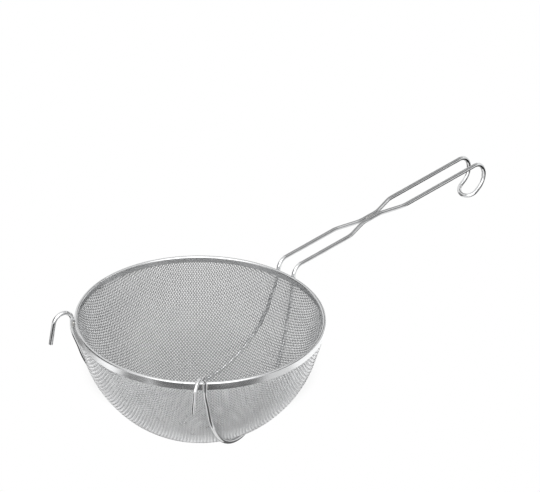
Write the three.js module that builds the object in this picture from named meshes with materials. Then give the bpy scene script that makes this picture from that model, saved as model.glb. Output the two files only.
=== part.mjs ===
// Long-handled wire strainer: a woven wire bowl in a folded rim band, carried by one bent wire that forms
// the two pot hooks, the stays under the bowl, the feet, the handle and the hanging curl.
// Millimetres, +Z up, handle along +X, origin on the flat under the bowl.
import * as THREE from 'three';

// Woven bowl
const bowlDepth = 119;          // rim top down to the flat that the bowl stands on
const bowlWidth = 234;          // across the outside of the bowl's curve, carried up to the rim top
const baseFlatDiameter = 36;    // flat under the bowl
const clothThickness = 1.6;     // two crossing cloth wires
const flareHeight = 26;         // height over which the cloth runs out into the rim
const meshPitch = 17;           // between the bars, each of which stands for seven wires of the cloth
const barWidth = 5.6;           // of a bar, as wide as its seven wires together
const smallestGap = 0.2;        // cut gaps below this share of a whole one are left closed at the rim

// Rim band: a strip folded over the edge of the cloth
const rimDiameter = 240;
const stripThickness = 0.6;
const outerLeafHeight = 7.8;
const innerLeafHeight = 6.2;
const clothClearance = 0.3;     // each side of the cloth inside the fold

// Frame wire
const wireDiameter = 4;
const wireToRim = 1;            // gap between wire and band, filled by the weld
const wireToCloth = 0.5;        // gap between the stays and the bowl
const stayRunIn = 26;           // height over which a stay comes in from the rim to the bowl

// Pot hooks
const hookAngle = 45;           // round the rim, from the side opposite the handle
const hookSplay = 15;           // outward turn of each hook from the handle's line
const hookSpan = 20.5;          // between the centres of a hook's legs, where the crown begins
const hookFlare = 9;            // outward lean of the free leg, degrees
const hookCrown = 10;           // top of the hook's centre line above the rim top
const hookDrop = 20;            // free end of the hook below the rim top

// Handle
const handleSpacing = 19.6;     // between the centres of the two runs
const handleLift = 7.8;         // wire centre above the rim top, where the foot bend ends
const handleSlope = 1;          // rise of the handle, degrees
const handleLength = 269;       // rim to the start of the curl
const footBendRadius = 10;
const waistStart = 84;          // rim to where the runs start to close in
const waistTaper = 27;          // length over which they close in, and open again
const waistLength = 25;         // length where they lie side by side
const waistGap = 0.9;           // between the two wires at the waist, filled by the weld

// Hanging curl at the end of the handle
const curlRadius = 15.2;
const curlAngle = 151;
const curlTail = 4;             // straight stretch after the curl, before the closing bend

// Welds
const weldClearance = 0.3;
const rimWeldWidth = 6.8;
const rimWeldHeight = 5;
const waistWeldLength = 8;

// Fineness of the facets
const roundSegments = 72;
const wireSides = 10;
const hookSegments = 9;         // odd, so that a flat facet lies under the crown
const staySegments = 30;
const bendStep = 14;            // degrees of bend in each step along the wire

const rad = THREE.MathUtils.degToRad;
const wireRadius = wireDiameter / 2;
const rimRadius = rimDiameter / 2;
const rimTop = bowlDepth;
const foldRadius = stripThickness + clothClearance + clothThickness / 2;

const steelWire = new THREE.MeshStandardMaterial({ color: 0xd2d4d6, metalness: 1, roughness: 0.2 });
const steelStrip = new THREE.MeshStandardMaterial({ color: 0xb9bcbf, metalness: 1, roughness: 0.35 });
const steelCloth = new THREE.MeshStandardMaterial({ color: 0xb4b7ba, metalness: 1, roughness: 0.45 });
const steelWeld = new THREE.MeshStandardMaterial({ color: 0xa8a8a6, metalness: 1, roughness: 0.5 });

// A profile of (radius, height) points turned about the vertical axis
function turned(profile) {
  const geometry = new THREE.LatheGeometry(profile, roundSegments);
  return geometry.rotateX(Math.PI / 2);
}

function circlePoints(x, y, radius, fromDegrees, toDegrees, steps) {
  return Array.from({ length: steps + 1 }, (_, i) => {
    const angle = rad(fromDegrees + (toDegrees - fromDegrees) * i / steps);
    return new THREE.Vector2(x + radius * Math.cos(angle), y + radius * Math.sin(angle));
  });
}

// Outside of the bowl, as a radius for each depth below the rim top
const bowlHalfWidth = bowlWidth / 2;
const bowlHalfHeight = bowlDepth / Math.sqrt(1 - (baseFlatDiameter / bowlWidth) ** 2);
const clothRimRadius = rimRadius - stripThickness - clothClearance;

function curveRadius(depth) {
  return bowlHalfWidth * Math.sqrt(1 - (depth / bowlHalfHeight) ** 2);
}

function bowlRadius(depth) {
  if (depth <= innerLeafHeight) return clothRimRadius;
  const runOut = clothRimRadius - curveRadius(innerLeafHeight);
  const settled = THREE.MathUtils.smoothstep(depth, innerLeafHeight, innerLeafHeight + flareHeight);
  return curveRadius(depth) + runOut * (1 - settled);
}

// The point that lies a distance outside the bowl, square to its wall, as (radius, depth)
function outsideBowl(depth, distance) {
  const step = 0.01;
  const slope = (bowlRadius(depth + step) - bowlRadius(depth - step)) / (2 * step);
  const across = 1 / Math.hypot(1, slope);
  return new THREE.Vector2(bowlRadius(depth) + distance * across, depth - distance * slope * across);
}

// The cloth is laid out flat in squares, then pressed: distance from its middle becomes a turn up the wall
const turnLength = (bowlHalfWidth + bowlHalfHeight) / 2;
const clothReach = turnLength * Math.acos(outerLeafHeight / bowlHalfHeight);

// Outer and inner place of a point of the flat cloth on the pressed bowl, as (radius, height)
function pressed(distance) {
  const depth = bowlHalfHeight * Math.cos(distance / turnLength);
  const radius = curveRadius(depth);
  if (depth >= bowlDepth) return [new THREE.Vector2(radius, 0), new THREE.Vector2(radius, clothThickness)];
  return [0, -clothThickness].map((offset) => {
    const point = outsideBowl(depth, offset);
    return new THREE.Vector2(point.x, rimTop - point.y);
  });
}

// The strip of the flat cloth between two bar edges, bars and gaps by turns. The outermost strips are gaps.
function clothStrips() {
  const bars = Math.floor((clothReach - barWidth / 2) / meshPitch);
  const edges = [-Infinity];
  for (let i = -bars; i <= bars; i += 1) {
    edges.push(i * meshPitch - barWidth / 2, i * meshPitch + barWidth / 2);
  }
  edges.push(Infinity);
  return edges.slice(1).map((high, i) => ({ low: edges[i], high, isBar: i % 2 === 1 }));
}

// The outline of one cell of the flat cloth, cut by the circle that the openwork reaches to
function cellOutline(across, along) {
  const within = (value, strip) => value >= strip.low && value <= strip.high;
  const outline = [];
  for (const x of [across.low, across.high].filter(Number.isFinite)) {
    for (const y of [along.low, along.high].filter(Number.isFinite)) {
      if (Math.hypot(x, y) < clothReach) outline.push(new THREE.Vector2(x, y));
    }
    const cut = Math.sqrt(clothReach ** 2 - x ** 2);
    for (const y of [-cut, cut]) if (within(y, along)) outline.push(new THREE.Vector2(x, y));
  }
  for (const y of [along.low, along.high].filter(Number.isFinite)) {
    const cut = Math.sqrt(clothReach ** 2 - y ** 2);
    for (const x of [-cut, cut]) if (within(x, across)) outline.push(new THREE.Vector2(x, y));
  }
  const middle = outline.reduce((sum, point) => sum.add(point), new THREE.Vector2());
  middle.divideScalar(Math.max(outline.length, 1));
  const turn = (point) => point.clone().sub(middle).angle();
  return outline.sort((a, b) => turn(a) - turn(b));
}

// Bowl of openwork: the bars of the cloth, and a plain edge that goes up into the fold of the rim
function bowlGeometry() {
  const outer = [];
  const inner = [];
  const numbers = new Map();
  const faces = [];

  function corner(angle, [outside, inside]) {
    const name = `${angle.toFixed(6)} ${outside.x.toFixed(4)} ${outside.y.toFixed(4)}`;
    if (!numbers.has(name)) {
      numbers.set(name, outer.length / 3);
      outer.push(outside.x * Math.cos(angle), outside.x * Math.sin(angle), outside.y);
      inner.push(inside.x * Math.cos(angle), inside.x * Math.sin(angle), inside.y);
    }
    return numbers.get(name);
  }

  function addFace(corners) {
    for (let i = 2; i < corners.length; i += 1) faces.push([corners[0], corners[i], corners[i - 1]]);
  }

  const strips = clothStrips();
  const wholeGap = (meshPitch - barWidth) ** 2;
  const edgeAngles = new Set();
  for (const across of strips) {
    for (const along of strips) {
      const outline = cellOutline(across, along);
      for (const point of outline) {
        if (point.length() > clothReach - 1e-6) edgeAngles.add(point.angle().toFixed(9));
      }
      const area = outline.length > 2 ? THREE.ShapeUtils.area(outline) : 0;
      const isGap = !across.isBar && !along.isBar && area > smallestGap * wholeGap;
      if (!isGap) addFace(outline.map((point) => corner(point.angle(), pressed(point.length()))));
    }
  }

  const rows = [pressed(clothReach)];
  for (const depth of [innerLeafHeight, foldRadius]) {
    const radii = [clothRimRadius, clothRimRadius - clothThickness];
    rows.push(radii.map((radius) => new THREE.Vector2(radius, rimTop - depth)));
  }
  const angles = [...edgeAngles].map(Number).sort((a, b) => a - b);
  angles.forEach((angle, i) => {
    const next = angles[(i + 1) % angles.length];
    for (const [low, high] of [[rows[0], rows[1]], [rows[1], rows[2]]]) {
      addFace([corner(angle, low), corner(angle, high), corner(next, high), corner(next, low)]);
    }
  });

  const count = outer.length / 3;
  const used = new Set(faces.flatMap(([a, b, c]) => [`${a} ${b}`, `${b} ${c}`, `${c} ${a}`]));
  const index = faces.flatMap(([a, b, c]) => [a, b, c, a + count, c + count, b + count]);
  for (const [a, b, c] of faces) {
    for (const [from, to] of [[a, b], [b, c], [c, a]]) {
      if (used.has(`${to} ${from}`)) continue;
      index.push(to, from, from + count, to, from + count, to + count);
    }
  }
  const geometry = new THREE.BufferGeometry();
  geometry.setAttribute('position', new THREE.Float32BufferAttribute([...outer, ...inner], 3));
  geometry.setIndex(index);
  geometry.computeVertexNormals();
  return geometry;
}

// Inverted U in section: outer leaf, rounded fold and inner leaf, with a slot for the cloth
function rimGeometry() {
  const foldX = rimRadius - foldRadius;
  const foldZ = rimTop - foldRadius;
  const insideFold = foldRadius - stripThickness;
  const outerFoot = rimTop - outerLeafHeight;
  const innerFoot = rimTop - innerLeafHeight;
  const profile = [
    new THREE.Vector2(rimRadius, outerFoot),
    ...circlePoints(foldX, foldZ, foldRadius, 0, 180, 6),
    new THREE.Vector2(foldX - foldRadius, innerFoot),
    new THREE.Vector2(foldX - insideFold, innerFoot),
    ...circlePoints(foldX, foldZ, insideFold, 180, 0, 4),
    new THREE.Vector2(foldX + insideFold, outerFoot),
  ];
  return turned([...profile, profile[0].clone()]);
}

// Places round the rim where the wire is welded to the band, and the line that a stay takes in plan
const wireRimRadius = rimRadius + wireToRim + wireRadius;
const handleSide = handleSpacing / 2;
const hookPlan = new THREE.Vector2(-Math.cos(rad(hookAngle)), Math.sin(rad(hookAngle)));
hookPlan.multiplyScalar(wireRimRadius);
const footPlan = new THREE.Vector2(Math.sqrt(wireRimRadius ** 2 - handleSide ** 2), handleSide);
const stayLine = footPlan.clone().sub(hookPlan).normalize();
const stayMiddle = hookPlan.clone().add(footPlan).multiplyScalar(0.5);

// A stay's centre line at a depth, as (radius, depth): it follows the bowl, and runs in from the rim
function stayPoint(depth) {
  const offset = wireRadius + wireToCloth;
  const start = outsideBowl(outerLeafHeight, offset);
  const runIn = new THREE.Vector2(wireRimRadius - start.x, outerLeafHeight - start.y);
  const settled = THREE.MathUtils.smoothstep(depth, outerLeafHeight, outerLeafHeight + stayRunIn);
  return outsideBowl(depth, offset).addScaledVector(runIn, 1 - settled);
}

// Depth at which a stay passes closest to the bowl's axis
function stayLowest() {
  let above = outerLeafHeight;
  let below = bowlDepth;
  while (below - above > 1e-6) {
    const middle = (below + above) / 2;
    if (stayPoint(middle).x > stayMiddle.length()) above = middle;
    else below = middle;
  }
  return above;
}

function bend(centre, across, along, radius, fromDegrees, toDegrees) {
  const steps = Math.ceil(Math.abs(toDegrees - fromDegrees) / bendStep);
  return circlePoints(0, 0, radius, fromDegrees, toDegrees, steps).map((point) => {
    return centre.clone().addScaledVector(across, point.x).addScaledVector(along, point.y);
  });
}

function hookStations() {
  const outward = new THREE.Vector3(-Math.cos(rad(hookSplay)), Math.sin(rad(hookSplay)), 0);
  const radius = hookSpan / 2;
  const spring = rimTop + hookCrown - radius;
  const inner = new THREE.Vector3(hookPlan.x, hookPlan.y, spring);
  const centre = inner.clone().addScaledVector(outward, radius);
  const crown = circlePoints(0, 0, radius, hookFlare, 180 - hookFlare, hookSegments).map((point) => {
    return centre.clone().addScaledVector(outward, point.x).setZ(spring + point.y);
  });
  const drop = crown[0].z - (rimTop - hookDrop);
  const tip = crown[0].clone().addScaledVector(outward, drop * Math.tan(rad(hookFlare)));
  tip.z -= drop;
  return [tip, ...crown, inner];
}

function stayStations() {
  const low = Math.asin(stayLowest() / bowlHalfHeight);
  const high = Math.asin(outerLeafHeight / bowlHalfHeight);
  const sideways = stayMiddle.length();
  return Array.from({ length: staySegments + 1 }, (_, i) => {
    const turn = Math.PI * (2 * i / staySegments - 1);
    const share = (1 - Math.cos(turn)) / 2;
    const point = stayPoint(bowlHalfHeight * Math.sin(low + (high - low) * share));
    const along = Math.sign(turn) * Math.sqrt(Math.max(point.x ** 2 - sideways ** 2, 0));
    const plan = stayMiddle.clone().addScaledVector(stayLine, along);
    return new THREE.Vector3(plan.x, plan.y, rimTop - point.y);
  });
}

// The handle's run on the +Y side: foot bend, waist, hanging curl and half of the closing bend
const slope = rad(handleSlope);
const handleStart = new THREE.Vector2(
  footPlan.x + footBendRadius * (1 - Math.sin(slope)),
  rimTop + handleLift,
);
const waistSide = wireRadius + waistGap / 2;
const waistMiddle = rimRadius + waistStart + waistTaper + waistLength / 2;

function handleHeight(x) {
  return handleStart.y + (x - handleStart.x) * Math.tan(slope);
}

function handleStations() {
  const forward = new THREE.Vector3(1, 0, 0);
  const up = new THREE.Vector3(0, 0, 1);
  const side = new THREE.Vector3(0, 1, 0);
  const footCentre = new THREE.Vector3(
    footPlan.x + footBendRadius,
    handleSide,
    handleStart.y - footBendRadius * Math.cos(slope),
  );
  const curlStart = rimRadius + handleLength;
  const curlCentre = new THREE.Vector3(
    curlStart + curlRadius * Math.sin(slope),
    handleSide,
    handleHeight(curlStart) - curlRadius * Math.cos(slope),
  );
  const curl = bend(curlCentre, forward, up, curlRadius, 90 + handleSlope, 90 + handleSlope - curlAngle);
  const heading = rad(handleSlope - curlAngle);
  const back = new THREE.Vector3(Math.cos(heading), 0, Math.sin(heading));
  const closingCentre = curl.at(-1).clone().addScaledVector(back, curlTail).setY(0);
  const onRun = (x, y) => new THREE.Vector3(x, y, handleHeight(x));
  const waist = rimRadius + waistStart;
  const waistEnd = waist + 2 * waistTaper + waistLength;
  return [
    ...bend(footCentre, forward, up, footBendRadius, 180, 90 + handleSlope),
    onRun(waist, handleSide),
    onRun(waist + waistTaper, waistSide),
    onRun(waistEnd - waistTaper, waistSide),
    onRun(waistEnd, handleSide),
    ...curl,
    ...bend(closingCentre, side, back, handleSide, 0, 90),
  ];
}

// A path whose steps fall on given stations, so that straight runs take one step and bends take many
class WirePath extends THREE.Curve {
  constructor(stations) {
    super();
    this.stations = stations;
  }

  station(u) {
    return Math.round(u * (this.stations.length - 1));
  }

  getPointAt(u) {
    return this.stations[this.station(u)].clone();
  }

  getTangentAt(u) {
    const i = this.station(u);
    const here = this.stations[i];
    const before = this.stations[Math.max(i - 1, 0)];
    const after = this.stations[Math.min(i + 1, this.stations.length - 1)];
    const arriving = here.clone().sub(before).normalize();
    const leaving = after.clone().sub(here).normalize();
    return arriving.add(leaving).normalize();
  }
}

// The whole frame is one wire, the same on both sides of the handle's middle plane.
// Its section is turned so that a flat faces into each hook.
function frameGeometry() {
  const half = [...hookStations(), ...stayStations(), ...handleStations()];
  const otherHalf = half.slice(0, -1).reverse().map((point) => point.clone().setY(-point.y));
  const path = new WirePath([...half, ...otherHalf]);
  const turn = -THREE.MathUtils.radToDeg(Math.atan(Math.tan(rad(hookSplay)) * Math.cos(rad(hookFlare))));
  const section = new THREE.Shape(circlePoints(0, 0, wireRadius, turn, turn + 360, wireSides).slice(0, -1));
  return new THREE.ExtrudeGeometry(section, {
    steps: path.stations.length - 1,
    extrudePath: path,
    bevelEnabled: false,
  });
}

// Weld between the wire and the band: it lies on the band and cups the wire
function rimWeldGeometry() {
  const cup = wireRadius + weldClearance;
  const back = rimRadius + weldClearance;
  const toe = rimWeldWidth / 2;
  const toeThickness = 0.3;
  const cupHalfAngle = 65;
  const section = new THREE.Shape([
    new THREE.Vector2(back, -toe),
    new THREE.Vector2(back + toeThickness, -toe),
    ...circlePoints(wireRimRadius, 0, cup, 180 + cupHalfAngle, 180 - cupHalfAngle, 8),
    new THREE.Vector2(back + toeThickness, toe),
    new THREE.Vector2(back, toe),
  ]);
  return new THREE.ExtrudeGeometry(section, { depth: rimWeldHeight, bevelEnabled: false });
}

// Weld between the two runs at the waist: it fills the grooves above and below where they meet
function waistWeldGeometry() {
  const cup = wireRadius + weldClearance;
  const cupHalfAngle = 50;
  const section = new THREE.Shape([
    ...circlePoints(0, waistSide, cup, 270 + cupHalfAngle, 270 - cupHalfAngle, 6),
    ...circlePoints(0, -waistSide, cup, 90 + cupHalfAngle, 90 - cupHalfAngle, 6),
  ]);
  const geometry = new THREE.ExtrudeGeometry(section, { depth: waistWeldLength, bevelEnabled: false });
  return geometry.translate(0, 0, -waistWeldLength / 2).rotateY(Math.PI / 2);
}

const strainer = new THREE.Group();

function addPiece(name, geometry, material) {
  const piece = new THREE.Mesh(geometry, material);
  piece.name = name;
  strainer.add(piece);
  return piece;
}

addPiece('mesh_bowl', bowlGeometry(), steelCloth);
addPiece('rim_band', rimGeometry(), steelStrip);
addPiece('frame_wire', frameGeometry(), steelWire);

const weldFoot = rimTop - (outerLeafHeight + rimWeldHeight) / 2;
for (const [name, plan] of [['hook', hookPlan], ['foot', footPlan]]) {
  for (const [side, sign] of [['left', 1], ['right', -1]]) {
    const weld = addPiece(`weld_${side}_${name}`, rimWeldGeometry(), steelWeld);
    weld.position.z = weldFoot;
    weld.rotation.z = sign * plan.angle();
  }
}

const waistWeld = addPiece('weld_handle_waist', waistWeldGeometry(), steelWeld);
waistWeld.position.set(waistMiddle, 0, handleHeight(waistMiddle));
waistWeld.rotation.y = -slope;

export default strainer;
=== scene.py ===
import math

import bpy
import numpy as np
from mathutils import Matrix, Vector


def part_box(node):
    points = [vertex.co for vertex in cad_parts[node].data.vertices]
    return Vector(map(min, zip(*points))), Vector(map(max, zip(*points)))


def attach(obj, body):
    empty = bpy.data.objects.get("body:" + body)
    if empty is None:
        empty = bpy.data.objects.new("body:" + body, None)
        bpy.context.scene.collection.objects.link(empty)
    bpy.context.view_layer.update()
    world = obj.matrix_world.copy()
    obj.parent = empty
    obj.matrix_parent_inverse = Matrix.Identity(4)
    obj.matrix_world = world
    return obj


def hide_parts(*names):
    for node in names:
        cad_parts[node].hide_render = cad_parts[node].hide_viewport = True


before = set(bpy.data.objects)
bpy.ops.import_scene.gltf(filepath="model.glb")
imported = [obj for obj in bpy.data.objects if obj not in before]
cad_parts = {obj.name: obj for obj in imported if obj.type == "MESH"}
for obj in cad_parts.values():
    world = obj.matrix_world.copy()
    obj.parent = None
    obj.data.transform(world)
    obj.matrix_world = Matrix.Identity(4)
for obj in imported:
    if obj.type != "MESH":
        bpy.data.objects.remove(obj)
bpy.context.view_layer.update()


# Woven bowl
# Plain-weave stainless wire cloth, pressed cold into a bowl, so its wires bend over and under each other.
# The wires run along and across the handle, and crowd together round the wall towards the rim.
rim_low, rim_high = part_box("rim_band")
rim_radius = rim_high.x
rim_top = rim_high.z
strip_and_play = 0.0009
cloth_rim_radius = rim_radius - strip_and_play
cloth_edge_depth = rim_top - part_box("mesh_bowl")[1].z
bowl_half_width = 0.117
base_flat_radius = 0.018
inner_leaf_height = 0.0062
flare_height = 0.026
cloth_wire_diameter = 0.0008
cloth_wire_roundness = 1
cloth_pitch = 0.00243
cloth_stretch = 0.05
edge_margin_in_pitches = 0.3
steps_per_pitch = 3
wall_points = 400
cloth_pieces_each_way = 4
# Painted shade and light: the wires' faces towards the inside of the bowl take a dark tone, those towards
# the outside a light one
cloth_shaded_inside_tone = (0.385, 0.39, 0.395, 1)
cloth_lit_outside_tone = (0.94, 0.945, 0.95, 1)
cloth_patchiness = 0.24
cloth_roughness = (0.22, 0.38)
bowl_half_height = rim_top / math.sqrt(1 - (base_flat_radius / bowl_half_width) ** 2)


def eased(value, low, high):
    share = np.clip((value - low) / (high - low), 0, 1)
    return share * share * (3 - 2 * share)


def bowl_curve(depth):
    return bowl_half_width * np.sqrt(1 - (depth / bowl_half_height) ** 2)


def bowl_radius(depth):
    run_out = cloth_rim_radius - bowl_curve(inner_leaf_height)
    settled = eased(depth, inner_leaf_height, inner_leaf_height + flare_height)
    flared = bowl_curve(depth) + run_out * (1 - settled)
    return np.where(depth < inner_leaf_height, cloth_rim_radius, flared)


def outside_bowl(depth, distance):
    """Radius and depth of a point at a distance from the cloth's outer face, square to it."""
    step = 1e-5
    slope = (bowl_radius(depth + step) - bowl_radius(depth - step)) / (2 * step)
    across = 1 / np.hypot(1, slope)
    return bowl_radius(depth) + distance * across, depth - distance * slope * across


def deselect_all():
    bpy.ops.object.select_all(action="DESELECT")


def tube_mesh(name, lines, radius, roundness):
    """One mesh of round wires with closed ends, each along a row of points."""
    curve = bpy.data.curves.new(name, "CURVE")
    curve.dimensions = "3D"
    curve.bevel_depth = radius
    curve.bevel_resolution = roundness
    curve.use_fill_caps = True
    for points in lines:
        spline = curve.splines.new("POLY")
        spline.points.add(len(points) - 1)
        rows = np.hstack([points, np.ones((len(points), 1))])
        spline.points.foreach_set("co", rows.astype(np.float32).ravel())
    tube = bpy.data.objects.new(name, curve)
    bpy.context.scene.collection.objects.link(tube)
    deselect_all()
    tube.select_set(True)
    bpy.context.view_layer.objects.active = tube
    bpy.ops.object.convert(target="MESH")
    bpy.ops.object.shade_smooth()
    return bpy.context.view_layer.objects.active


# The middle of the cloth, from the centre of the base to its edge in the rim, by length along the wall
cloth_half_thickness = cloth_wire_diameter
base_turn = math.asin(rim_top / bowl_half_height)
edge_turn = math.asin(cloth_edge_depth / bowl_half_height)
wall_depths = bowl_half_height * np.sin(np.linspace(base_turn, edge_turn, wall_points))
wall_radii, wall_lows = outside_bowl(wall_depths, -cloth_half_thickness)
wall_radii = np.concatenate([[0.0], wall_radii])
wall_heights = np.concatenate([[cloth_half_thickness], rim_top - wall_lows])
wall_lengths = np.concatenate([[0], np.cumsum(np.hypot(np.diff(wall_radii), np.diff(wall_heights)))])
wall_turns = np.arctan2(np.gradient(wall_heights), np.gradient(wall_radii))
flat_radii = wall_lengths * (1 - cloth_stretch * (wall_lengths / wall_lengths[-1]) ** 2)
cloth_reach = flat_radii[-1]


def cloth_line(number, turned):
    """The bent centre line of one cloth wire: number counts wires from the middle of the bowl."""
    offset = number * cloth_pitch
    half_length = math.sqrt(cloth_reach**2 - offset**2)
    step = cloth_pitch / steps_per_pitch
    count = int(half_length / step)
    along = np.concatenate([[-half_length], np.arange(-count, count + 1) * step, [half_length]])
    side = np.full_like(along, offset)
    radius = np.hypot(along, side)
    angle = np.arctan2(along, side) if turned else np.arctan2(side, along)
    wall_radius = np.interp(radius, flat_radii, wall_radii)
    wall_height = np.interp(radius, flat_radii, wall_heights)
    wall_turn = np.interp(radius, flat_radii, wall_turns)
    first = 1 if (number % 2 == 0) != turned else -1
    weave = first * cloth_wire_diameter / 2 * np.cos(math.pi * along / cloth_pitch)
    out = wall_radius + weave * np.sin(wall_turn)
    height = wall_height - weave * np.cos(wall_turn)
    return np.stack([out * np.cos(angle), out * np.sin(angle), height], axis=1)


def fill_sockets(owner, node, sockets):
    """Gives each socket of a shader node its value, or a link where it is given an output."""
    for name, given in sockets.items():
        if isinstance(given, bpy.types.NodeSocket):
            owner.node_tree.links.new(given, node.inputs[name])
        else:
            node.inputs[name].default_value = given


def add_node(owner, kind, sockets, **settings):
    """Adds a shader node with its settings and sockets, and returns its outputs."""
    node = owner.node_tree.nodes.new("ShaderNode" + kind)
    for name, setting in settings.items():
        setattr(node, name, setting)
    fill_sockets(owner, node, sockets)
    return node.outputs


def noise(owner, place, scale, detail):
    return add_node(owner, "TexNoise", {"Vector": place, "Scale": scale, "Detail": detail})["Fac"]


def spread(owner, share, low, high):
    """A number that goes from low to high as the share goes from 0 to 1."""
    return add_node(owner, "MapRange", {"Value": share, "To Min": low, "To Max": high})["Result"]


def new_material(name):
    material = bpy.data.materials.new(name)
    material.use_nodes = True
    return material


def cloth_steel():
    """Bright drawn wire, patchy, with painted shade: faces towards the inside of the bowl darker, faces
    towards the outside lighter.
    """
    material = new_material("woven_stainless_wire")
    place = add_node(material, "TexCoord", {})["Object"]
    patches = noise(material, place, scale=55.0, detail=4.0)
    middle = (0, 0, rim_top)
    from_middle = add_node(material, "VectorMath", {0: place, 1: middle}, operation="SUBTRACT")["Vector"]
    outward = add_node(material, "VectorMath", {0: from_middle}, operation="NORMALIZE")["Vector"]
    normal = add_node(material, "NewGeometry", {})["Normal"]
    facing = add_node(material, "VectorMath", {0: outward, 1: normal}, operation="DOT_PRODUCT")["Value"]
    # Painted shade: 0 on faces towards the inside of the bowl (dark tone), 1 on faces towards the outside
    # (light tone)
    side = add_node(material, "MapRange", {"Value": facing, "From Min": -0.6, "From Max": 0.2})["Result"]
    shade_tones = {"Factor": side, "A": cloth_shaded_inside_tone, "B": cloth_lit_outside_tone}
    tone = add_node(material, "Mix", shade_tones, data_type="RGBA")["Result"]
    layers = {"Factor": cloth_patchiness, "A": tone, "B": patches}
    patchy_shaded = add_node(material, "Mix", layers, data_type="RGBA", blend_type="MULTIPLY")["Result"]
    dulling = spread(material, patches, *cloth_roughness)
    shader = material.node_tree.nodes["Principled BSDF"]
    fill_sockets(material, shader, {"Metallic": 1.0, "Base Color": patchy_shaded, "Roughness": dulling})
    return material


cloth_finish = cloth_steel()
last_wire = int(cloth_reach / cloth_pitch - edge_margin_in_pitches)
wire_numbers = np.array_split(np.arange(-last_wire, last_wire + 1), cloth_pieces_each_way)
for way, turned in (("along", False), ("across", True)):
    for count, numbers in enumerate(wire_numbers, start=1):
        lines = [cloth_line(int(number), turned) for number in numbers]
        name = f"cloth_wires_{way}_{count}"
        cloth = tube_mesh(name, lines, cloth_wire_diameter / 2, cloth_wire_roundness)
        cloth.data.materials.append(cloth_finish)
        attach(cloth, "root")
        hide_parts("mesh_bowl")


# Rim band
# One strip of stainless sheet folded over the cut edge of the cloth, outer leaf deeper than the inner one.
# It is rolled into a ring, and its ends meet in a butt seam near the right hook.
strip_thickness = 0.0006
outer_leaf_height = rim_high.z - rim_low.z
fold_radius = 0.0017
seam_angle = math.radians(215)
seam_gap = 0.0003
fold_steps = 12
ring_steps = 288
edge_round = 0.00015
edge_angle = math.radians(50)
smooth_angle = math.radians(40)
strip_dark = (0.59, 0.595, 0.60, 1)
strip_light = (0.69, 0.695, 0.70, 1)
strip_roughness = (0.18, 0.31)

deselect_all()
bpy.ops.mesh.primitive_plane_add(size=1, enter_editmode=False)
rim = bpy.context.view_layer.objects.active
rim.name = "folded_rim_band"
leaf_middle = rim_radius - strip_thickness / 2
leaf_height = outer_leaf_height - fold_radius
fold_centre = Vector((rim_radius - fold_radius, 0, rim_top - fold_radius))
bpy.ops.object.mode_set(mode="EDIT")
bpy.ops.transform.rotate(value=math.pi / 2, orient_axis="X", center_override=(0, 0, 0))
bpy.ops.transform.resize(value=(strip_thickness, 1, leaf_height), center_override=(0, 0, 0))
bpy.ops.transform.translate(value=(leaf_middle, 0, fold_centre.z - leaf_height / 2))


def select_vertices(piece, chosen):
    """Selects, in edit mode, the vertices that the test picks by their place."""
    bpy.ops.mesh.select_all(action="DESELECT")
    bpy.ops.object.mode_set(mode="OBJECT")
    for vertex in piece.data.vertices:
        vertex.select = chosen(vertex.co)
    bpy.ops.object.mode_set(mode="EDIT")


tiny = 1e-6
bpy.context.tool_settings.mesh_select_mode = (True, False, False)
select_vertices(rim, lambda place: place.z > fold_centre.z - tiny)
bpy.ops.mesh.spin(steps=fold_steps, angle=math.pi, center=fold_centre, axis=(0, 1, 0))
select_vertices(rim, lambda place: place.x < fold_centre.x and place.z < fold_centre.z + tiny)
drop = inner_leaf_height - fold_radius
bpy.ops.mesh.extrude_region_move(TRANSFORM_OT_translate={"value": (0, 0, -drop)})
bpy.ops.mesh.select_all(action="SELECT")
bpy.ops.mesh.remove_doubles(threshold=tiny)
bpy.ops.transform.rotate(value=-seam_angle, orient_axis="Z", center_override=(0, 0, 0))
seam_turn = seam_gap / rim_radius
bpy.ops.mesh.spin(steps=ring_steps, angle=2 * math.pi - seam_turn, center=(0, 0, 0), axis=(0, 0, 1))
bpy.ops.mesh.select_all(action="SELECT")
bpy.ops.mesh.normals_make_consistent(inside=False)
bpy.ops.object.mode_set(mode="OBJECT")
softened = rim.modifiers.new("softened_edges", "BEVEL")
softened.width = edge_round
softened.segments = 2
softened.limit_method = "ANGLE"
softened.angle_limit = edge_angle
bpy.ops.object.modifier_apply(modifier=softened.name)
bpy.ops.object.shade_smooth_by_angle(angle=smooth_angle)
flattened = rim.modifiers.new("flat_leaves", "WEIGHTED_NORMAL")
flattened.weight = 100
flattened.keep_sharp = True
bpy.ops.object.modifier_apply(modifier=flattened.name)


def two_tones(material, share, dark, light, low, high):
    """A colour that goes from dark to light as the share goes from low to high."""
    ramp = material.node_tree.nodes.new("ShaderNodeValToRGB")
    fill_sockets(material, ramp, {"Fac": share})
    for stop, place, tone in zip(ramp.color_ramp.elements, (low, high), (dark, light)):
        stop.position = place
        stop.color = tone
    return ramp.outputs["Color"]


def strip_steel():
    """Rolled strip: satin, with fine lines round the ring and a few handling marks."""
    material = new_material("rolled_stainless_strip")
    place = add_node(material, "TexCoord", {})["Object"]
    drawn_out = add_node(material, "Mapping", {"Vector": place, "Scale": (18.0, 18.0, 2600.0)})["Vector"]
    lines = noise(material, drawn_out, scale=1.0, detail=3.0)
    patches = noise(material, place, scale=40.0, detail=5.0)
    fine_relief = {"Strength": 0.15, "Distance": 0.0001, "Height": lines}
    fill_sockets(material, material.node_tree.nodes["Principled BSDF"], {
        "Metallic": 1.0,
        "Base Color": two_tones(material, patches, strip_dark, strip_light, low=0.3, high=0.75),
        "Roughness": spread(material, lines, *strip_roughness),
        "Normal": add_node(material, "Bump", fine_relief)["Normal"],
    })
    return material


rim.data.materials.append(strip_steel())
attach(rim, "root")
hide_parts("rim_band")


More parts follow.
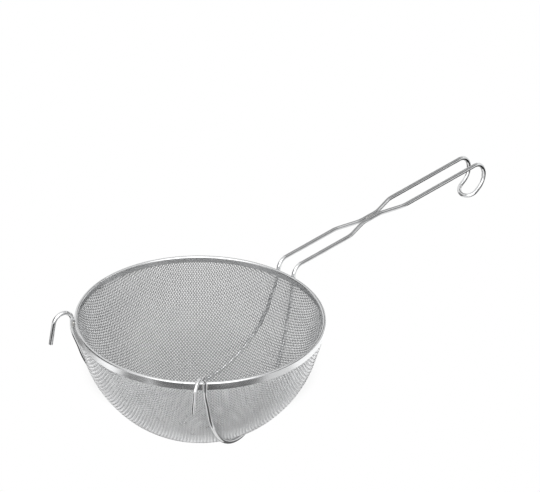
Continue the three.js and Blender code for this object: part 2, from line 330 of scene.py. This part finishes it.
# Frame wire
# One length of bright drawn stainless wire, bent cold: a hook for the pot's edge, a stay under the bowl, a
# foot at the rim, the handle with its waist, the hanging curl, and the same back again. Both ends are cut
# square and deburred, and it is welded to the band.
wire_radius = 0.002
wire_roundness = 8
wire_to_rim = 0.0001
wire_to_cloth = 0.0001
stay_run_in = 0.026
stay_steps = 96
stay_samples = 4000
hook_angle = math.radians(45)
hook_splay = math.radians(15)
hook_span = 0.0205
hook_flare = math.radians(9)
hook_crown = 0.010
hook_drop = 0.020
handle_spacing = 0.0196
handle_lift = 0.0078
handle_slope = math.radians(1)
handle_length = 0.269
foot_bend_radius = 0.010
waist_start = 0.084
waist_taper = 0.027
waist_length = 0.025
waist_bend_radius = 0.030
waist_gap = 0.0001
curl_radius = 0.0152
curl_angle = math.radians(151)
curl_tail = 0.004
bend_step = math.radians(4)
end_round = 0.0004
wire_dark = (0.60, 0.605, 0.61, 1)
wire_light = (0.72, 0.725, 0.73, 1)
wire_roughness = (0.05, 0.12)

wire_rim_radius = rim_radius + wire_to_rim + wire_radius
handle_side = handle_spacing / 2
hook_plan = Vector((-math.cos(hook_angle), math.sin(hook_angle))) * wire_rim_radius
foot_plan = Vector((math.sqrt(wire_rim_radius**2 - handle_side**2), handle_side))
stay_line = (foot_plan - hook_plan).normalized()
stay_middle = (foot_plan + hook_plan) / 2


def bend(centre, across, along, radius, start, end):
    """Points round an arc from one angle to another, in the plane of two directions."""
    count = max(2, math.ceil(abs(end - start) / bend_step))
    angles = [start + (end - start) * step / count for step in range(count + 1)]
    return [centre + across * radius * math.cos(a) + along * radius * math.sin(a) for a in angles]


def stay_point(depth):
    """Radius and depth of the stay's middle line, which leaves the band and settles on the cloth."""
    offset = wire_radius + wire_to_cloth
    start_radius, start_depth = outside_bowl(outer_leaf_height, offset)
    settled = eased(depth, outer_leaf_height, outer_leaf_height + stay_run_in)
    radius, lower = outside_bowl(depth, offset)
    radius = radius + (wire_rim_radius - start_radius) * (1 - settled)
    return radius, lower + (outer_leaf_height - start_depth) * (1 - settled)


up = Vector((0, 0, 1))
forward = Vector((1, 0, 0))
sideways = Vector((0, 1, 0))

hook_out = Vector((-math.cos(hook_splay), math.sin(hook_splay), 0))
hook_spring = rim_top + hook_crown - hook_span / 2
hook_inner = Vector((hook_plan.x, hook_plan.y, hook_spring))
hook_centre = hook_inner + hook_out * hook_span / 2
crown = bend(hook_centre, hook_out, up, hook_span / 2, hook_flare, math.pi)
leg_drop = crown[0].z - (rim_top - hook_drop)
hook_tip = crown[0] + hook_out * leg_drop * math.tan(hook_flare) - up * leg_drop
route = [hook_tip] + crown

stay_depths = np.linspace(outer_leaf_height, rim_top, stay_samples)
stay_radii = stay_point(stay_depths)[0]
stay_lowest = np.interp(-stay_middle.length, -stay_radii, stay_depths)
low_turn = math.asin(stay_lowest / bowl_half_height)
high_turn = math.asin(outer_leaf_height / bowl_half_height)
for step in range(stay_steps + 1):
    turn = math.pi * (2 * step / stay_steps - 1)
    share = (1 - math.cos(turn)) / 2
    radius, depth = stay_point(bowl_half_height * math.sin(low_turn + (high_turn - low_turn) * share))
    along = math.copysign(math.sqrt(max(radius**2 - stay_middle.length_squared, 0)), turn)
    plan = stay_middle + stay_line * along
    route.append(Vector((plan.x, plan.y, rim_top - depth)))

handle_start = foot_plan.x + foot_bend_radius * (1 - math.sin(handle_slope))
handle_height = rim_top + handle_lift


def on_handle(x, y):
    return Vector((x, y, handle_height + (x - handle_start) * math.tan(handle_slope)))


level = math.pi / 2 + handle_slope
foot_centre = Vector((foot_plan.x + foot_bend_radius, handle_side, 0))
foot_centre.z = handle_height - foot_bend_radius * math.cos(handle_slope)
route += bend(foot_centre, forward, up, foot_bend_radius, math.pi, level)

waist_side = wire_radius + waist_gap / 2
waist_in = rim_radius + waist_start
waist_end = waist_in + 2 * waist_taper + waist_length


def bent_corner(before, corner, after, radius):
    """Points round a bend of a given radius where two straight runs meet."""
    arriving = (corner - before).normalized()
    leaving = (after - corner).normalized()
    turn = arriving.angle(leaving)
    reach = radius * math.tan(turn / 2)
    start = corner - arriving * reach
    inward = (leaving - arriving * arriving.dot(leaving)).normalized()
    return bend(start + inward * radius, -inward, arriving, radius, 0, turn)


curl_start = on_handle(rim_radius + handle_length, handle_side)
run = [
    on_handle(handle_start, handle_side),
    on_handle(waist_in, handle_side),
    on_handle(waist_in + waist_taper, waist_side),
    on_handle(waist_end - waist_taper, waist_side),
    on_handle(waist_end, handle_side),
    curl_start,
]
for before, corner, after in zip(run, run[1:], run[2:]):
    route += bent_corner(before, corner, after, waist_bend_radius)

curl_centre = curl_start + (forward * math.sin(handle_slope) - up * math.cos(handle_slope)) * curl_radius
route += bend(curl_centre, forward, up, curl_radius, level, level - curl_angle)
heading = handle_slope - curl_angle
backward = forward * math.cos(heading) + up * math.sin(heading)
closing_centre = route[-1] + backward * curl_tail
closing_centre.y = 0
route += bend(closing_centre, sideways, backward, handle_side, 0, math.pi / 2)
route += [Vector((point.x, -point.y, point.z)) for point in reversed(route[:-1])]

route_points = np.array([tuple(point) for point in route])
wire = tube_mesh("bent_frame_wire", [route_points], wire_radius, wire_roundness)
bpy.ops.object.mode_set(mode="EDIT")
bpy.context.tool_settings.mesh_select_mode = (False, False, True)
bpy.ops.mesh.select_all(action="DESELECT")
bpy.ops.object.mode_set(mode="OBJECT")
# Only the two cut ends have more than four corners
for face in wire.data.polygons:
    face.select = len(face.vertices) > 4
bpy.ops.object.mode_set(mode="EDIT")
bpy.ops.mesh.bevel(offset=end_round, segments=3)
bpy.ops.object.mode_set(mode="OBJECT")


def wire_steel():
    """Polished drawn wire, uneven in tone and gloss from handling."""
    material = new_material("polished_stainless_wire")
    place = add_node(material, "TexCoord", {})["Object"]
    marks = noise(material, place, scale=90.0, detail=6.0)
    fill_sockets(material, material.node_tree.nodes["Principled BSDF"], {
        "Metallic": 1.0,
        "Base Color": two_tones(material, marks, wire_dark, wire_light, low=0.3, high=0.7),
        "Roughness": spread(material, marks, *wire_roughness),
    })
    return material


wire.data.materials.append(wire_steel())
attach(wire, "root")
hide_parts("frame_wire")


# Welds
# Small resistance welds: four hold the wire to the band, and one holds the two runs together at the waist.
# The metal has flowed into the corners beside the wire and is a shade duller after cleaning.
rim_weld_size = Vector((0.0022, 0.0056, 0.0052))
rim_weld_out = 0.0009
rim_weld_drop = 0.0002
rim_weld_height = rim_top - outer_leaf_height / 2 - rim_weld_drop
waist_weld_size = Vector((0.010, 0.0030, 0.0034))
weld_roundness = 0.35
weld_dark = (0.40, 0.39, 0.37, 1)
weld_light = (0.56, 0.555, 0.54, 1)
weld_roughness = (0.35, 0.55)


def weld_steel():
    """Flowed metal, pickled after welding: matt, with a faint straw tint."""
    material = new_material("cleaned_weld")
    place = add_node(material, "TexCoord", {})["Object"]
    grain = noise(material, place, scale=700.0, detail=5.0)
    flowed_relief = {"Strength": 0.4, "Distance": 0.0002, "Height": grain}
    fill_sockets(material, material.node_tree.nodes["Principled BSDF"], {
        "Metallic": 1.0,
        "Base Color": two_tones(material, grain, weld_dark, weld_light, low=0.3, high=0.7),
        "Roughness": spread(material, grain, *weld_roughness),
        "Normal": add_node(material, "Bump", flowed_relief)["Normal"],
    })
    return material


weld_finish = weld_steel()


def weld(name, node, centre, size, turn, axis):
    """A rounded lump of weld metal at a place, turned about an axis."""
    deselect_all()
    bpy.ops.mesh.primitive_cube_add(size=1)
    lump = bpy.context.view_layer.objects.active
    lump.name = name
    bpy.ops.object.mode_set(mode="EDIT")
    bpy.ops.mesh.subdivide(number_cuts=2)
    bpy.ops.transform.tosphere(value=weld_roundness)
    bpy.ops.transform.resize(value=size, center_override=(0, 0, 0))
    bpy.ops.object.mode_set(mode="OBJECT")
    smooth = lump.modifiers.new("flowed", "SUBSURF")
    smooth.levels = 2
    smooth.render_levels = 2
    bpy.ops.object.modifier_apply(modifier=smooth.name)
    lump.data.transform(Matrix.Translation(centre) @ Matrix.Rotation(turn, 4, axis))
    bpy.ops.object.shade_smooth()
    lump.data.materials.append(weld_finish)
    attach(lump, "root")
    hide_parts(node)


for place, plan in (("hook", hook_plan), ("foot", foot_plan)):
    for side, sign in (("left", 1), ("right", -1)):
        turn = sign * math.atan2(plan.y, plan.x)
        reach = rim_radius + rim_weld_out
        centre = Vector((reach * math.cos(turn), reach * math.sin(turn), rim_weld_height))
        weld(f"{place}_weld_{side}", f"weld_{side}_{place}", centre, rim_weld_size, turn, "Z")
waist_centre = on_handle(waist_in + waist_taper + waist_length / 2, 0)
weld("waist_weld", "weld_handle_waist", waist_centre, waist_weld_size, -handle_slope, "Y")


# Studio
# A white paper floor that keeps the bowl's soft shadow, one large softbox from the camera's side and
# a small one at the right. Grey and white cards lie round the strainer and glow with their own grey, the
# two bounce cards brighter than white, and only show as reflections in its bare metal.
floor_size = 12.0
paper_white = (0.95, 0.95, 0.95, 1)
plain_white = (1, 1, 1, 1)
shadow_start = Vector((0.082, 0.074, 0))
shadow_run = Vector((0.072, 0.064, 0))
shadow_core_radius = 0.085
shadow_edge_radius = 0.120
room_light_level = 0.5
room_seen_level = 1.0
deselect_all()
bpy.ops.mesh.primitive_plane_add(size=floor_size, location=(0, 0, 0))
floor = bpy.context.view_layer.objects.active
floor.name = "studio_floor"


def seen_directly(owner):
    """1 for rays from the camera or off shiny and clear surfaces, 0 for the rest."""
    rays = add_node(owner, "LightPath", {})
    pair = {0: rays["Is Camera Ray"], 1: rays["Is Glossy Ray"]}
    either = add_node(owner, "Math", pair, operation="MAXIMUM")["Value"]
    last_pair = {0: either, 1: rays["Is Transmission Ray"]}
    return add_node(owner, "Math", last_pair, operation="MAXIMUM")["Value"]


def white_paper():
    """Paper that glows plain white to the camera, but not round the line that the shadow lies along."""
    paper = new_material("white_paper")
    shader = paper.node_tree.nodes["Principled BSDF"]
    fill_sockets(paper, shader, {"Base Color": paper_white, "Roughness": 0.9})
    place = add_node(paper, "TexCoord", {})["Object"]
    line = shadow_run.normalized()
    from_start = add_node(paper, "VectorMath", {0: place, 1: shadow_start}, operation="SUBTRACT")["Vector"]
    along = add_node(paper, "VectorMath", {0: from_start, 1: line}, operation="DOT_PRODUCT")["Value"]
    kept_on_line = add_node(paper, "Clamp", {"Value": along, "Max": shadow_run.length})["Result"]
    nearest = add_node(paper, "VectorMath", {0: line, "Scale": kept_on_line}, operation="SCALE")["Vector"]
    distance = add_node(paper, "VectorMath", {0: from_start, 1: nearest}, operation="DISTANCE")["Value"]
    radii = {"Value": distance, "From Min": shadow_core_radius, "From Max": shadow_edge_radius}
    sweep = add_node(paper, "MapRange", radii, interpolation_type="SMOOTHSTEP")["Result"]
    share = add_node(paper, "Math", {0: seen_directly(paper), 1: sweep}, operation="MULTIPLY")["Value"]
    glow = add_node(paper, "Emission", {"Color": plain_white, "Strength": 1.0})["Emission"]
    mixed = add_node(paper, "MixShader", {"Fac": share, 1: shader.outputs["BSDF"], 2: glow})["Shader"]
    fill_sockets(paper, paper.node_tree.nodes["Material Output"], {"Surface": mixed})
    return paper


floor.data.materials.append(white_paper())
room = bpy.data.worlds.new("white_room")
bpy.context.scene.world = room
room.use_nodes = True
room_level = spread(room, seen_directly(room), room_light_level, room_seen_level)
fill_sockets(room, room.node_tree.nodes["Background"], {"Color": plain_white, "Strength": room_level})


def soft_light(name, place, aim, size, power):
    light = bpy.data.lights.new(name, "AREA")
    light.shape = "RECTANGLE"
    light.size, light.size_y = size
    light.energy = power
    lamp = bpy.data.objects.new(name, light)
    lamp.location = place
    lamp.rotation_euler = (Vector(aim) - Vector(place)).to_track_quat("-Z", "Y").to_euler()
    bpy.context.scene.collection.objects.link(lamp)


def card(name, place, aim, size, glow_grey, turn=0.0):
    """A plain card that glows with its own grey and only shows as a reflection in the metal."""
    deselect_all()
    bpy.ops.mesh.primitive_plane_add(size=1)
    sheet = bpy.context.view_layer.objects.active
    sheet.name = name
    facing = (Vector(aim) - Vector(place)).to_track_quat("Z", "Y").to_matrix().to_4x4()
    shape = Matrix.Rotation(turn, 4, "Z") @ Matrix.Diagonal((*size, 1, 1))
    sheet.data.transform(Matrix.Translation(place) @ facing @ shape)
    card_glow = new_material(name)
    tone = add_node(card_glow, "Emission", {"Color": (glow_grey, glow_grey, glow_grey, 1)})["Emission"]
    fill_sockets(card_glow, card_glow.node_tree.nodes["Material Output"], {"Surface": tone})
    sheet.data.materials.append(card_glow)
    sheet.visible_camera = False
    sheet.visible_diffuse = False
    sheet.visible_transmission = False
    sheet.visible_shadow = False


card_height = 0.01
base_card_height = 0.002


def floor_card(name, x, y, size, glow_grey, turn=0.0, height=card_height):
    """A card that lies just above the floor."""
    card(name, (x, y, height), (x, y, 1), size, glow_grey, turn)


handle_middle = (0.27, 0, 0.13)
bowl_middle = (0, 0, 0.08)
camera_azimuth = math.radians(-48.08)
card("overhead_card", (0.72, 0.25, 0.62), handle_middle, (0.6, 0.6), 0.36)
card("right_card", (0.79, -0.46, 0.53), handle_middle, (0.6, 0.5), 0.26)
card("left_card", (-0.55, 0.75, 0.35), bowl_middle, (0.9, 0.7), 0.10)
card("front_right_card", (0.45, -0.75, 0.30), bowl_middle, (0.7, 0.6), 0.30)
floor_card("stay_card", -0.174, -0.210, (0.10, 0.32), 0.12, camera_azimuth)
floor_card("band_right_card", -0.069, -0.297, (0.17, 0.12), 0.15, camera_azimuth)
floor_card("band_left_card", -0.283, -0.133, (0.16, 0.14), 0.15, camera_azimuth)
floor_card("front_hook_card", -0.25, 0.03, (0.10, 0.09), 0.25)
floor_card("left_hook_card", -0.24, 0.29, (0.20, 0.14), 0.05)
floor_card("back_left_card", 0.0, 0.26, (0.22, 0.18), 0.38)
floor_card("back_card", 0.45, 0.15, (0.42, 0.18), 0.06)
floor_card("curl_card", 0.51, -0.12, (0.24, 0.30), 0.04)
# These two bounce cards glow brighter than white and put painted highlights in the metal
floor_card("right_bounce_card", 0.19, -0.14, (0.12, 0.32), 1.5)
floor_card("left_bounce_card", -0.25, 0.16, (0.12, 0.12), 1.6)
floor_card("hook_leg_card", -0.46, -0.04, (0.24, 0.38), 0.03)
floor_card("right_edge_card", 0.125, -0.085, (0.07, 0.16), 0.05, camera_azimuth)
floor_card("left_edge_card", -0.085, 0.139, (0.07, 0.16), 0.05, camera_azimuth)
floor_card("base_edge_card", -0.034, -0.030, (0.16, 0.04), 0.15, camera_azimuth, base_card_height)
soft_light("key_softbox", (-1.10, -0.99, 1.33), bowl_middle, (3.0, 3.0), power=40)
soft_light("right_softbox", (1.3, -0.6, 0.8), bowl_middle, (0.4, 0.8), power=4)


# Camera
# A long lens from the front left, looking down on the bowl with the handle running back to the right.
# It aims beside the middle of the rim, so that the bowl lies at the lower left of the picture.
lens_mm = 400.0
sensor_mm = 36.0
view_depth = 100.0
camera_distance = 5.72
camera_elevation = math.radians(29.91)
camera_roll = math.radians(-0.79)
aim_right = 0.0656
aim_up = 0.0693

to_camera = Vector((
    math.sin(camera_azimuth) * math.cos(camera_elevation),
    -math.cos(camera_azimuth) * math.cos(camera_elevation),
    math.sin(camera_elevation),
))
image_right = Vector((math.cos(camera_azimuth), math.sin(camera_azimuth), 0))
image_up = to_camera.cross(image_right)
aim = Vector((0, 0, rim_top)) + image_right * aim_right + image_up * aim_up
rolled_right = image_right * math.cos(camera_roll) - image_up * math.sin(camera_roll)
rolled_up = image_right * math.sin(camera_roll) + image_up * math.cos(camera_roll)
lens = bpy.data.cameras.new("long_lens")
lens.lens = lens_mm
lens.sensor_width = sensor_mm
lens.clip_end = view_depth
camera = bpy.data.objects.new("camera", lens)
bpy.context.scene.collection.objects.link(camera)
camera_turn = Matrix((rolled_right, rolled_up, to_camera)).transposed().to_4x4()
camera.matrix_world = Matrix.Translation(aim + to_camera * camera_distance) @ camera_turn
bpy.context.scene.camera = camera
bpy.context.scene.view_settings.view_transform = "Standard"
